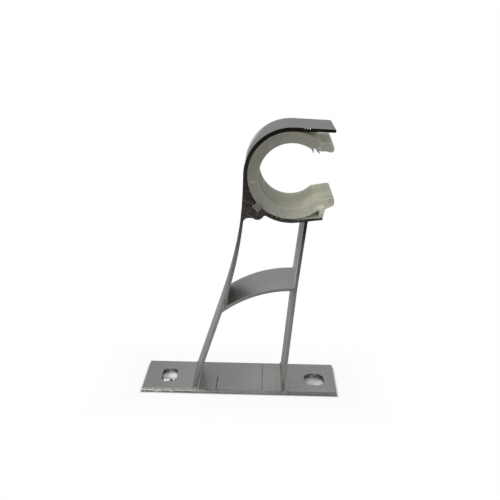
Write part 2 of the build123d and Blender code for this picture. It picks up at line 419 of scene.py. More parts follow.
def fill(tree, node, inputs):
    """Links the inputs that are given as sockets, and sets the plain ones on the node itself."""
    for key, value in inputs.items():
        if isinstance(value, bpy.types.NodeSocket):
            tree.links.new(value, node.inputs[key])
        else:
            node.inputs[key].default_value = value


def add_node(tree, kind, inputs=None, **settings):
    """Adds a node with its settings and inputs."""
    node = tree.nodes.new(kind)
    for name, value in settings.items():
        setattr(node, name, value)
    fill(tree, node, inputs or {})
    return node


def new_material(name):
    """A new material, with its node tree, its shader and its object coordinates."""
    material = bpy.data.materials.new(name)
    material.use_nodes = True
    tree = material.node_tree
    shader = tree.nodes["Principled BSDF"]
    place = add_node(tree, "ShaderNodeTexCoord").outputs["Object"]
    return material, tree, shader, place


def axes(tree, place):
    """The coordinates one by one, as X, Y and Z."""
    return add_node(tree, "ShaderNodeSeparateXYZ", {"Vector": place}).outputs


def on_vectors(tree, operation, inputs):
    """The outputs of one calculation on vectors."""
    return add_node(tree, "ShaderNodeVectorMath", inputs, operation=operation).outputs


def distance(tree, place, point):
    """How far the coordinates are from a point."""
    return on_vectors(tree, "DISTANCE", {0: place, 1: point})["Value"]


def stretched(tree, place, scale):
    """The coordinates, scaled differently along each axis."""
    return add_node(tree, "ShaderNodeMapping", {"Vector": place, "Scale": scale}).outputs["Vector"]


def cloud(tree, place, scale, detail=3.0, roughness=0.55, distortion=0.0):
    """Soft noise from 0 to 1."""
    inputs = {
        "Vector": place,
        "Scale": scale,
        "Detail": detail,
        "Roughness": roughness,
        "Distortion": distortion,
    }
    return add_node(tree, "ShaderNodeTexNoise", inputs).outputs["Fac"]


def remap(tree, value, low, high, new_low=0.0, new_high=1.0):
    """Maps a value's range on to a new one, and clamps it there."""
    inputs = {"Value": value, "From Min": low, "From Max": high, "To Min": new_low, "To Max": new_high}
    return add_node(tree, "ShaderNodeMapRange", inputs).outputs["Result"]


def calculate(tree, operation, first, second):
    """One calculation on two values."""
    return add_node(tree, "ShaderNodeMath", {0: first, 1: second}, operation=operation).outputs[0]


def times(tree, first, second):
    """The product of two values."""
    return calculate(tree, "MULTIPLY", first, second)


def plus(tree, first, second):
    """The sum of two values."""
    return calculate(tree, "ADD", first, second)


def minus(tree, first, second):
    """The first value less the second."""
    return calculate(tree, "SUBTRACT", first, second)


def larger(tree, first, second):
    """The larger of two values."""
    return calculate(tree, "MAXIMUM", first, second)


def size_of(tree, value):
    """The value without its sign."""
    return calculate(tree, "ABSOLUTE", value, 0.0)


def blend(tree, share, first, second, mode="MIX"):
    """Mixes two colours, which may be sockets or plain colours."""
    colors = [c if isinstance(c, bpy.types.NodeSocket) else (*c, 1.0) for c in (first, second)]
    inputs = {0: share, 6: colors[0], 7: colors[1]}
    return add_node(tree, "ShaderNodeMix", inputs, data_type="RGBA", blend_type=mode).outputs[2]


def tinted(tree, color, tint):
    """A colour multiplied by a tint."""
    return blend(tree, 1.0, color, tint, "MULTIPLY")


def washed(tree, share, color, tint):
    """A colour with a share of a tint in it."""
    return blend(tree, share, color, tinted(tree, color, tint))


def bump(tree, height, strength, depth, normal=None):
    """A bump from a height, laid over an earlier one if there is one."""
    inputs = {"Height": height, "Strength": strength, "Distance": depth}
    if normal is not None:
        inputs["Normal"] = normal
    return add_node(tree, "ShaderNodeBump", inputs).outputs["Normal"]


def closeness(tree, place, point, radius, softness=0.5):
    """1 near a point of the piece, falling to 0 at the radius."""
    return remap(tree, distance(tree, place, point), radius * (1 - softness), radius, 1.0, 0.0)


def wobbled(tree, place, scale, reach):
    """The coordinates, pushed about by noise so that marks get ragged outlines."""
    noise_color = add_node(tree, "ShaderNodeTexNoise", {"Vector": place, "Scale": scale}).outputs["Color"]
    centred = on_vectors(tree, "SUBTRACT", {0: noise_color, 1: (0.5, 0.5, 0.5)})[0]
    push = on_vectors(tree, "SCALE", {0: centred, "Scale": reach})[0]
    return on_vectors(tree, "ADD", {0: place, 1: push})[0]


def on_front(x, z):
    """A point of the sawn front end, given in mm."""
    return (x * MM, FRONT, z * MM)


def stroke(tree, place, middle, angle, length, width):
    """1 along a thin stroke on the front end, given in mm and degrees, falling to 0 at its edges."""
    inputs = {
        "Vector": place,
        "Location": on_front(*middle),
        "Rotation": (0.0, -math.radians(angle), 0.0),
        "Scale": (length * MM / 2, 0.6 * MM, width * MM / 2),
    }
    local = add_node(tree, "ShaderNodeMapping", inputs, vector_type="TEXTURE").outputs["Vector"]
    away = on_vectors(tree, "LENGTH", {0: local})["Value"]
    return remap(tree, away, 0.55, 1.0, 1.0, 0.0)


def marked(tree, place, color, strokes, tone):
    """A colour with strokes of another tone drawn over it."""
    for middle, angle, length, width, strength in strokes:
        mark = stroke(tree, place, middle, angle, length, width)
        color = blend(tree, times(tree, mark, strength), color, tone)
    return color


def shade(color, factor):
    """A colour made lighter or darker."""
    return tuple(channel * factor for channel in color)


def color_ramp(tree, value, tones):
    """Colours along a value from 0 to 1, given as a table of position and colour."""
    ramp = add_node(tree, "ShaderNodeValToRGB", {"Fac": value})
    stops = ramp.color_ramp.elements
    while len(stops) < len(tones):
        stops.new(0.5)
    for stop, (position, tone) in zip(stops, tones.items()):
        stop.position = position
        stop.color = (*tone, 1.0)
    return ramp.outputs["Color"]


def drawn_aluminium():
    """Mill finish: satin metal with faint die lines along the extrusion."""
    material, tree, shader, place = new_material("drawn_aluminium")
    metal = tuple(look().bracket.metal_color)
    along = axes(tree, place)
    across = along["X"]
    height = along["Z"]
    die_lines = cloud(tree, stretched(tree, place, (2100, 30, 2100)), 1.0, 3.0, 0.6)
    mottle = cloud(tree, place, 420.0, 5.0, 0.65)
    grain = cloud(tree, place, 4200.0, 2.0, 0.6)
    color = blend(tree, remap(tree, die_lines, 0.35, 0.65), shade(metal, 0.97), shade(metal, 1.03))
    color = blend(tree, remap(tree, mottle, 0.42, 0.70, 0.0, 0.6), color, shade(metal, 0.88))
    color = blend(tree, remap(tree, grain, 0.35, 0.70, 0.0, 0.4), color, shade(metal, 1.12))
    # Painted shade: the metal is painted darker towards the head, and it is rougher there
    upper = remap(tree, height, 60 * MM, 100 * MM)
    color = blend(tree, upper, color, shade(metal, 0.70))
    # Painted shade on the plate's top at its left
    at_plate = remap(tree, height, 2 * MM, 4 * MM, 1.0, 0.0)
    plate_left_shade = times(tree, at_plate, remap(tree, across, -40 * MM, -18 * MM, 1.0, 0.0))
    color = blend(tree, plate_left_shade, color, shade(metal, 0.82))
    # Painted light: paler pools on the plate's top right of the middle and on the brace's top
    plate_light_pool = closeness(tree, place, (12 * MM, 0.0, PLATE_TOP), 15 * MM, 0.6)
    brace_light_pool = closeness(tree, place, (13 * MM, 0.0, 46 * MM), 18 * MM, 0.5)
    color = washed(tree, larger(tree, plate_light_pool, brace_light_pool), color, (1.17, 1.17, 1.16))
    stain = closeness(tree, place, (-14.6 * MM, -7.6 * MM, PLATE_TOP), 0.7 * MM, 0.8)
    color = blend(tree, times(tree, stain, 0.5), color, shade(metal, 0.35))

    # Painted highlight: the head's left side and its back are painted pale, as reflections of the white
    # surroundings would make them
    side = remap(tree, across, 1.2 * MM, 2.2 * MM, 1.0, 0.0)
    side = times(tree, side, remap(tree, height, 91 * MM, 96 * MM))
    painted_glare = times(tree, closeness(tree, place, (1.5 * MM, BACK, 100 * MM), 14 * MM, 0.9), 0.85)
    color = blend(tree, larger(tree, side, painted_glare), color, (0.95, 0.95, 0.95))
    satin = remap(tree, mottle, 0.3, 0.7, 0.31, 0.37)
    fill(tree, shader, {
        "Base Color": color,
        "Metallic": 0.70,
        "Specular IOR Level": 0.15,
        "Specular Tint": (0.7, 0.7, 0.69, 1.0),
        "Roughness": plus(tree, satin, times(tree, upper, 0.22)),
        "Normal": bump(tree, die_lines, 0.05, 0.03 * MM, bump(tree, grain, 0.06, 0.02 * MM)),
    })
    return material


def dull_aluminium(name, gain, shares, metallic=0.9):
    """The legs' sides: the same metal, duller and mottled, with painted shade that makes them darker towards
    the head; a gain above 1 makes a lighter copy, as painted light.
    """
    material, tree, shader, place = new_material(name)
    metal = shade(look().bracket.metal_color, gain)
    along = axes(tree, place)
    height = along["Z"]
    mottle = cloud(tree, place, 520.0, 5.0, 0.65)
    die_lines = cloud(tree, stretched(tree, place, (2100, 40, 2100)), 1.0, 3.0, 0.6)
    tones = {position: shade(metal, share) for position, share in shares.items()}
    # Painted shade along the height
    color = color_ramp(tree, remap(tree, height, 2 * MM, LEG_TOP), tones)
    color = washed(tree, remap(tree, mottle, 0.42, 0.66), color, (0.80, 0.81, 0.75))

    # The left leg's side runs on into the head's smooth one
    on_left = minus(tree, 1.0, remap(tree, along["X"], 12 * MM, 16 * MM))
    near_head = times(tree, remap(tree, height, 66 * MM, LEG_TOP), on_left)
    color = blend(tree, near_head, color, shade(metal, 0.84))
    smooth = remap(tree, mottle, 0.3, 0.7, 0.31, 0.36)
    dulled = remap(tree, height, 36 * MM, 48 * MM, 0.0, 0.24)
    dullest = times(tree, remap(tree, height, 48 * MM, 74 * MM, 0.0, 0.16), on_left)
    added = minus(tree, plus(tree, dulled, dullest), times(tree, near_head, 0.31))
    fill(tree, shader, {
        "Base Color": color,
        "Metallic": metallic,
        "Specular IOR Level": 0.15,
        "Specular Tint": (1.0, 1.0, 0.98, 1.0),
        "Roughness": plus(tree, smooth, added),
        "Normal": bump(tree, die_lines, 0.12, 0.03 * MM, bump(tree, mottle, 0.1, 0.03 * MM)),
    })
    return material


def sawn_aluminium():
    """The sawn ends: streaked by the blade, with painted shade that makes them darker towards the head."""
    material, tree, shader, place = new_material("sawn_aluminium")
    along = axes(tree, place)
    # Painted shade: the ends are painted darker towards the head, along a slanted and wandering height
    slant = times(tree, along["X"], 0.22)
    wander = times(tree, cloud(tree, place, 210.0, 4.0), 9 * MM)
    height = plus(tree, plus(tree, along["Z"], slant), wander)
    tone = color_ramp(tree, remap(tree, height, 4.5 * MM, HEIGHT + 4.5 * MM), SAWN_TONES)

    # The plate's end is paler, and torn bright on its left
    low = remap(tree, along["Z"], 1.9 * MM, 3.2 * MM, 1.0, 0.0)
    end_tone = color_ramp(tree, remap(tree, along["X"], PART_LOW.x, PART_HIGH.x), PLATE_TONES)
    jags = cloud(tree, stretched(tree, place, (1500, 100, 500)), 1.0, 3.0, 0.7)
    edge = plus(tree, along["Z"], remap(tree, jags, 0.3, 0.7, -0.5 * MM, 0.5 * MM))
    upper_rim = remap(tree, edge, 1.25 * MM, 1.5 * MM, 0.0, 0.9)
    upper_rim = times(tree, upper_rim, remap(tree, along["X"], -24 * MM, -14 * MM, 1.0, 0.0))
    end_tone = blend(tree, upper_rim, end_tone, (0.24, 0.24, 0.23))
    tone = blend(tree, low, tone, end_tone)

    # The right leg's top is dark, and the lower arm above it rubbed bare along its inner side
    joined = closeness(tree, place, on_front(25.6, 75.0), 9 * MM, 0.8)
    tone = blend(tree, times(tree, joined, 0.8), tone, (0.012, 0.011, 0.010))
    rubbed = closeness(tree, place, on_front(24.6, 77.4), 4.5 * MM, 0.8)
    off_pole = distance(tree, stretched(tree, place, (1, 0, 1)), (POLE.x, 0.0, POLE.z))
    inner_side = remap(tree, off_pole, 17.9 * MM, 18.3 * MM, 0.9, 0.0)
    tone = blend(tree, times(tree, rubbed, inner_side), tone, (0.13, 0.127, 0.118))

    # Arcs of the saw blade, and smeared and stained metal
    ragged = times(tree, cloud(tree, place, 420.0, 3.0), 0.7 * MM)
    blade = plus(tree, distance(tree, place, BLADE_MIDDLE), ragged)
    arcs = cloud(tree, add_node(tree, "ShaderNodeCombineXYZ", {"X": blade}).outputs[0], 3600.0, 2.0, 0.7)
    smears = cloud(tree, stretched(tree, place, (1100, 1100, 420)), 1.0, 4.0, 0.7)
    color = washed(tree, remap(tree, arcs, 0.50, 0.72, 0.0, 0.8), tone, (1.45, 1.44, 1.40))
    darker = tinted(tree, tone, (0.52, 0.50, 0.48))
    color = blend(tree, remap(tree, smears, 0.50, 0.68, 0.0, 0.75), color, darker)
    rust = cloud(tree, place, 1100.0, 3.0, 0.7)
    upper = remap(tree, along["Z"], 70 * MM, 78 * MM)
    solid_web = times(tree, upper, remap(tree, along["Z"], 85 * MM, 98 * MM, 0.6, 0.0))
    brown = times(tree, remap(tree, rust, 0.54, 0.62, 0.0, 0.85), upper)
    worn = times(tree, remap(tree, rust, 0.46, 0.38, 0.0, 0.75), solid_web)
    color = blend(tree, brown, color, (0.018, 0.011, 0.009))
    color = blend(tree, worn, color, (0.088, 0.074, 0.060))

    # A painted shadow: a broken dark line low in the plate's end, at its left; and painted shade at the legs'
    # feet
    dashes = cloud(tree, stretched(tree, place, (900, 100, 900)), 1.0, 2.0, 0.6)
    shadow_dashes = remap(tree, dashes, 0.38, 0.46, 0.0, 0.92)
    shadow_dashes = times(tree, shadow_dashes, remap(tree, along["X"], -21 * MM, -17 * MM, 1.0, 0.0))
    level = size_of(tree, minus(tree, along["Z"], 0.38 * MM))
    shadow_dashes = times(tree, shadow_dashes, remap(tree, level, 0.12 * MM, 0.32 * MM, 1.0, 0.0))
    color = blend(tree, shadow_dashes, color, (0.050, 0.046, 0.038))
    fill(tree, shader, {
        "Base Color": marked(tree, place, color, FOOT_SHADE_LINES, (0.052, 0.050, 0.042)),
        "Metallic": 1.0,
        "Specular Tint": (0.3, 0.3, 0.3, 1.0),
        "Roughness": remap(tree, smears, 0.3, 0.7, 0.42, 0.62),
        "Normal": bump(tree, smears, 0.30, 0.06 * MM, bump(tree, arcs, 0.35, 0.05 * MM)),
    })
    return material


def punched_aluminium():
    """The torn walls of the punched slots, with bands of dark and fresh metal."""
    material, tree, shader, place = new_material("punched_aluminium")
    tear = cloud(tree, stretched(tree, place, (420, 420, 1700)), 1.0, 4.0, 0.65)
    color = blend(tree, remap(tree, tear, 0.46, 0.62), (0.15, 0.15, 0.145), (0.36, 0.36, 0.35))
    fill(tree, shader, {
        "Base Color": color,
        "Metallic": 1.0,
        "Roughness": 0.42,
        "Normal": bump(tree, tear, 0.4, 0.1 * MM),
    })
    return material


def painted_shade_aluminium():
    """Painted shade in the guide lines, on the broken edges low on the sawn ends and in the slot's notch,
    thinner here and there.
    """
    material, tree, shader, place = new_material("painted_shade_aluminium")
    metal = tuple(look().bracket.metal_color)
    shade_patches = cloud(tree, stretched(tree, place, (60, 130, 60)), 1.0, 3.0, 0.6)
    along = axes(tree, place)
    left = remap(tree, along["X"], 0.0, 1 * MM, 1.0, 0.0)
    back_left = times(tree, left, remap(tree, along["Y"], -3 * MM, 1 * MM, 0.0, 0.85))
    color = blend(tree, remap(tree, shade_patches, 0.40, 0.60), shade(metal, 0.14), shade(metal, 0.50))
    color = blend(tree, left, blend(tree, 0.6, color, metal), color)
    color = blend(tree, back_left, color, shade(metal, 1.5))
    fill(tree, shader, {
        "Base Color": color,
        "Metallic": 0.5,
        "Specular IOR Level": 0.1,
        "Roughness": 0.6,
        "Normal": bump(tree, shade_patches, 0.2, 0.03 * MM),
    })
    return material


def painted_tone_aluminium(name, tone):
    """Dull metal in one tone, painted: pale on the arms beside the liner as painted light, dark in one of the
    burrs as a painted shadow.
    """
    material, tree, shader, place = new_material(name)
    smear = cloud(tree, place, 1300.0, 4.0, 0.65)
    color = blend(tree, remap(tree, smear, 0.40, 0.60), shade(tone, 0.75), tone)
    fill(tree, shader, {
        "Base Color": color,
        "Roughness": 0.6,
        "Normal": bump(tree, smear, 0.2, 0.03 * MM),
    })
    return material


def fresh_aluminium():
    """Freshly torn burrs, nearly white."""
    material, tree, shader, place = new_material("fresh_aluminium")
    tear = cloud(tree, place, 1900.0, 3.0, 0.6)
    color = blend(tree, remap(tree, tear, 0.35, 0.65), (0.46, 0.455, 0.43), (0.88, 0.88, 0.87))
    fill(tree, shader, {
        "Base Color": color,
        "Metallic": 1.0,
        "Roughness": 0.35,
        "Normal": bump(tree, tear, 0.4, 0.1 * MM),
    })
    return material


def milky_plastic(name, gain):
    """Natural plastic: milky and a little see-through, with its scratches and strained spots, and light and
    shade painted into its colour.
    """
    material, tree, shader, place = new_material(name)
    settings = look().liner
    # Painted light and shade: lighter towards the lips, where light comes through the plastic, and darker in
    # the hook, where the metal behind it shades it
    free = shade(settings.free_color, gain)
    backed = shade(settings.backed_color, 0.56 + 0.40 * gain)
    along = axes(tree, place)
    right = times(tree, minus(tree, along["X"], POLE.x), 0.8)
    down = times(tree, minus(tree, along["Z"], POLE.z), -0.6)
    flow = cloud(tree, stretched(tree, place, (140, 50, 140)), 1.0, 4.0, 0.55, 0.8)
    blur = times(tree, minus(tree, flow, 0.5), 7 * MM)
    reach = plus(tree, plus(tree, right, down), blur)
    shares = {0.0: 0.0, 0.2: 0.12, 0.5: 0.27, 0.7: 0.50, 0.8: 0.69, 0.9: 0.93, 1.0: 1.0}
    tones = {
        position: tuple(b + (f - b) * share for b, f in zip(backed, free))
        for position, share in shares.items()
    }
    color = color_ramp(tree, remap(tree, reach, -15 * MM, 15 * MM), tones)

    # The lighter copies, painted light, are painted darker again at the front end and at the lips' tips
    if gain > 1.0:
        outer = tinted(tree, color, (0.74, 0.75, 0.69))
        inner = tinted(tree, color, (1.12, 1.13, 1.06))
        color = blend(tree, remap(tree, along["Y"], -11.5 * MM, -4 * MM), outer, inner)
        color = washed(tree, remap(tree, along["X"], 30 * MM, 36 * MM), color, (0.67, 0.67, 0.70))

    # Painted shade: the key is painted darker in its notch; and the foot is colder against the arm's end
    key_shade = closeness(tree, place, on_front(6.2, 82.1), 3.4 * MM, 0.5)
    color = washed(tree, key_shade, color, (0.60, 0.60, 0.56))
    footed = closeness(tree, place, on_front(33.6, 79.0), 3.6 * MM, 0.7)
    color = washed(tree, footed, color, (0.74, 0.76, 0.84))

    # Uneven tint, fine specks and rubbed spots
    warm = cloud(tree, place, 190.0, 3.0, 0.5)
    color = washed(tree, remap(tree, warm, 0.45, 0.65), color, (1.06, 1.0, 0.97))
    specks = cloud(tree, place, 1500.0, 4.0, 0.65)
    dull = tinted(tree, color, (0.84, 0.84, 0.80))
    color = washed(tree, remap(tree, specks, 0.54, 0.68), color, (1.14, 1.14, 1.15))
    color = blend(tree, remap(tree, specks, 0.46, 0.34), color, dull)

    # Whitened where it has been strained, then light scratches, and dark strokes that are partly scratches
    # and partly painted shade
    ragged = wobbled(tree, place, 1500.0, 0.55 * MM)
    for middle, radius, strength in STRAINED_SPOTS:
        spot = closeness(tree, ragged, on_front(*middle), radius * MM, 0.75)
        broken = times(tree, spot, remap(tree, specks, 0.36, 0.56, 0.35 * strength, strength))
        color = blend(tree, broken, color, (0.66, 0.67, 0.62))
    color = marked(tree, ragged, color, LIGHT_STROKES, (0.52, 0.52, 0.47))
    color = marked(tree, ragged, color, DARK_MARKS_AND_SHADE, (0.05, 0.05, 0.035))

    # A small ring pressed into the lower lip
    off_ring = size_of(tree, minus(tree, distance(tree, ragged, on_front(*RING_MARK)), RING_RADIUS))
    color = blend(tree, remap(tree, off_ring, 0.05 * MM, 0.22 * MM, 0.40, 0.0), color, (0.08, 0.08, 0.065))
    fill(tree, shader, {
        "Base Color": color,
        "Subsurface Weight": 0.7,
        "Subsurface Radius": (1.0, 0.97, 0.84),
        "Subsurface Scale": 4.0 * MM,
        "IOR": 1.49,
        "Specular IOR Level": 0.2,
        "Roughness": remap(tree, specks, 0.3, 0.7, 0.55, 0.70),
        "Normal": bump(tree, specks, 0.10, 0.04 * MM),
    })
    return material


def lumps(name, spots, materials=(), pick_material=None):
    """Rough lumps, each given by its middle and its half widths in mm."""
    noise.seed_set(look().bracket.lump_seed)
    shell = bmesh.new()
    for middle, half_widths in spots:
        size = Matrix.Diagonal((*(width * MM for width in half_widths), 1.0))
        place = Matrix.Translation(Vector(middle) * MM) @ size
        made = bmesh.ops.create_icosphere(shell, subdivisions=3, radius=1.0, matrix=place)
        for vert in made["verts"]:
            vert.co += noise.noise_vector(vert.co * LUMP_GRAIN) * LUMP_WANDER * MM
    return mesh_from(shell, name, materials, pick_material)


def slot_loop(name, spacing):
    """Evenly spaced points round a screw slot, each with its outward direction."""
    mount = MOUNTS[name]
    middle = Vector(mount["pos_m"])
    radius = mount["dims"]["hole_r_mm"] * MM
    reach = mount["dims"]["slot_length_mm"] * MM / 2 - radius
    turns = round(math.pi * radius / spacing)
    runs = round(2 * reach / spacing)
    loop = []
    for side in (1, -1):
        start = 0.0 if side > 0 else math.pi
        for i in range(turns):
            angle = start + math.pi * (i + 0.5) / turns
            outward = Vector((math.cos(angle), math.sin(angle), 0.0))
            loop.append((middle + Vector((0.0, side * reach, 0.0)) + outward * radius, outward))
        for i in range(runs):
            outward = Vector((-side, 0.0, 0.0))
            along = side * reach * (1 - 2 * (i + 0.5) / runs)
            loop.append((middle + Vector((0.0, along, 0.0)) + outward * radius, outward))
    return loop


def torn_slots():
    """A mesh that widens both screw slots a little and leaves their walls ragged."""
    settings = look().bracket
    levels = 10
    spacing = 0.4 * MM
    grain = 900
    low = -0.4 * MM
    high = PLATE_TOP + 0.4 * MM
    shell = bmesh.new()
    for name in ("left_screw_slot", "right_screw_slot"):
        rings = []
        for level in range(levels + 1):
            height = low + (high - low) * level / levels
            opening = settings.slot_growth * (0.4 + 1.1 * level / levels)
            ring = []
            for point, outward in slot_loop(name, spacing):
                spot = Vector((point.x, point.y, height * 1.6)) * grain + Vector((settings.seed, 0, 0))
                wander = settings.slot_roughness * noise.fractal(spot, 0.7, 2.0, 3)
                place = point + outward * max(opening + wander, 0.02 * MM)
                ring.append(shell.verts.new((place.x, place.y, height)))
            rings.append(ring)
        close_rings(shell, rings)
    bmesh.ops.recalc_face_normals(shell, faces=shell.faces)
    return mesh_from(shell, "torn_slots", (), lambda face: PUNCHED)


class POLE_BRACKET_OT_extrusion(bpy.types.Operator):
    """Builds the aluminium extrusion with broken edges, torn slots and chips in its crown edge"""

    bl_idname = "pole_bracket.extrusion"
    bl_label = "Aluminium Extrusion"

    def execute(self, context):
        settings = look().bracket
        shell = merged_copy("bracket")
        round_rims(shell, settings.rim_chamfer, 1)
        materials = [
            drawn_aluminium(),
            sawn_aluminium(),
            punched_aluminium(),
            painted_shade_aluminium(),
            dull_aluminium("dull_aluminium", 1.0, LEG_TONES),
            # Painted light: the lower arm's top beside the lower lip is pale, so that the gap there looks lit
            painted_tone_aluminium("painted_tone_aluminium", (0.66, 0.67, 0.60)),
            # A lighter copy, as painted light, for the left leg's inner side
            dull_aluminium("inner_aluminium", 1.7, LEG_TONES),
            # Painted light: the upper arm's underside is pale, so that it throws light on the lip below
            painted_tone_aluminium("underside_light_aluminium", (0.72, 0.73, 0.68)),
            fresh_aluminium(),
            # A lighter copy, with its painted reflection, for the right leg's left side
            dull_aluminium("right_leg_aluminium", 1.25, RIGHT_LEG_TONES, 0.6),
        ]

        def pick_material(face):
            center = face.calc_center_median()
            facing = face.normal
            if abs(facing.y) > 0.3:
                # Painted shade on the broken edges low on the sawn ends
                in_rim = abs(facing.y) < 0.95 and center.z < LEG_FOOT and center.x > SHADED_RIM_START
                return PAINTED_SHADE if in_rim else SAWN
            if PLATE_TOP - 0.3 * MM < center.z < PLATE_TOP and abs(center.x) < GUIDE_LINE_REACH:
                # Painted shade on the guide lines' walls
                return PAINTED_SHADE if abs(facing.x) > 0.5 else DRAWN
            if LEG_FOOT < center.z < LEG_TOP and abs(facing.x) > 0.8:
                if center.x < BETWEEN_LEGS:
                    return LEG_INNER if facing.x > 0 else LEG_OUTER
                return LEG_OUTER if facing.x > 0 else RIGHT_LEG
            # Painted light on the upper arm's underside
            if center.z > 105 * MM and center.x > 22 * MM and facing.z < -0.6:
                return UNDERSIDE_LIGHT
            # Painted light on the lower arm's top beside the lower lip
            if 24 * MM < center.x < 33 * MM and LEG_TOP < center.z < 80 * MM and facing.z > 0.6:
                return ARM_TOP_LIGHT
            return DRAWN

        piece = new_object("extrusion", mesh_from(shell, "extrusion", materials, pick_material))
        cut_away(piece, torn_slots())
        # The notch's walls get the painted shade
        cut_away(piece, lumps("slot_notches", SLOT_NOTCHES, (), lambda face: PAINTED_SHADE))
        cut_away(piece, lumps("crown_chips", CROWN_CHIPS, (), lambda face: FRESH))
        shade_evenly(piece)
        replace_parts(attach(piece, "root"), "bracket")
        return {"FINISHED"}


class POLE_BRACKET_OT_liner(bpy.types.Operator):
    """Builds the plastic liner with the nick, the worn corner and the torn strands of its upper lip"""

    bl_idname = "pole_bracket.liner"
    bl_label = "Plastic Liner"

    def execute(self, context):
        shell = merged_copy("liner")
        round_rims(shell, look().liner.rim_round, 2)
        # Painted light and shade: lighter copies of the plastic for faces that lie in shade, and a darker one
        # as painted shade on the rounded rims
        gains = {"milky_plastic": 1.0, "lit_plastic": 1.6, "bright_plastic": 3.1, "rim_plastic": 0.64}
        plastics = [milky_plastic(name, gain) for name, gain in gains.items()]

        def pick_material(face):
            center = face.calc_center_median()
            facing = face.normal
            if abs(facing.y) > 0.3:
                # The rounded rims get the painted shade; the gap's faces and the upward faces get the painted
                # light
                return RIM if abs(facing.y) < 0.97 and facing.z > 0.45 else PLASTIC
            in_gap = 24 * MM < center.x < 32.6 * MM and 77 * MM < center.z < 82 * MM
            if in_gap and (facing.z < -0.3 or facing.x < -0.3):
                return BRIGHT
            if facing.z > 0.3:
                return BRIGHT if center.z > POLE.z + 5 * MM else LIT
            return PLASTIC

        piece = new_object("liner_body", mesh_from(shell, "liner_body", plastics, pick_material))
        cut_away(piece, nick())
        cut_away(piece, worn_corner())
        shade_evenly(piece)
        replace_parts(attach(piece, "root"), "liner")
        strands = new_object("lip_burr", lip_burr(plastics[PLASTIC]))
        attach(strands, "root")
        return {"FINISHED"}


def prism(name, front, back):
    """A closed mesh between two outlines of the same number of corners."""
    shell = bmesh.new()
    close_rings(shell, [[shell.verts.new(corner) for corner in outline] for outline in (front, back)])
    bmesh.ops.recalc_face_normals(shell, faces=shell.faces)
    return mesh_from(shell, name)


def nick():
    """The tear that runs in from the upper lip's front rim: steep on its left, slanting on its right."""
    outline = (
        (27.55, 104.2), (27.68, 105.6), (27.80, 106.75), (28.12, 106.35),
        (28.55, 105.65), (29.1, 105.0), (29.2, 104.2),
    )
    low_x, low_z = outline[0]
    ahead = FRONT - CUTTER_MARGIN
    behind = FRONT + look().liner.nick_depth
    shrink = 0.3
    front = [(x * MM, ahead, z * MM) for x, z in outline]
    back = [
        ((low_x + (x - low_x) * shrink) * MM, behind, (low_z + (z - low_z) * shrink) * MM)
        for x, z in outline
    ]
    return prism("nick", front, back)


def worn_corner():
    """The upper lip's right corner, worn off at the front and less and less towards the back."""
    front = ((34.55, 108.7), (35.1, 107.0), (35.75, 105.3), (36.6, 105.3), (36.6, 108.7))
    back = ((35.05, 108.7), (35.3, 107.8), (35.6, 106.9), (36.6, 106.9), (36.6, 108.7))
    outlines = [
        [(x * MM, y, z * MM) for x, z in outline]
        for y, outline in ((FRONT - CUTTER_MARGIN, front), (BACK + CUTTER_MARGIN, back))
    ]
    return prism("worn_corner", *outlines)


def add_strand(shell, path, widths):
    """Adds a tapering strand that follows points (x, z) given in mm, just behind the liner's front end."""
    sides = 8
    behind = 0.42
    across, deep, up = 0.85, 0.9, 0.5  # The shares of its width along each axis
    rings = []
    for (x, z), width in zip(path, widths):
        ring = []
        for i in range(sides):
            angle = 2 * math.pi * i / sides
            offset = width * math.cos(angle)
            ring.append(shell.verts.new((
                (x + offset * across) * MM,
                FRONT + (behind + deep * width * math.sin(angle)) * MM,
                (z + offset * up) * MM,
            )))
        rings.append(ring)
    close_rings(shell, rings)


def lip_burr(material):
    """The strands of plastic that hang on both sides of the nick, the right one hooked."""
    shell = bmesh.new()
    hook = ((28.85, 105.75), (29.0, 105.2), (29.25, 104.75), (29.6, 104.4), (29.95, 104.12), (30.1, 103.95))
    add_strand(shell, hook, (0.34, 0.36, 0.32, 0.26, 0.17, 0.05))
    spike = ((27.05, 105.9), (27.25, 105.35), (27.42, 104.85), (27.54, 104.45), (27.62, 104.1))
    add_strand(shell, spike, (0.36, 0.34, 0.28, 0.18, 0.05))
    bmesh.ops.recalc_face_normals(shell, faces=shell.faces)
    return mesh_from(shell, "lip_burr", [material])


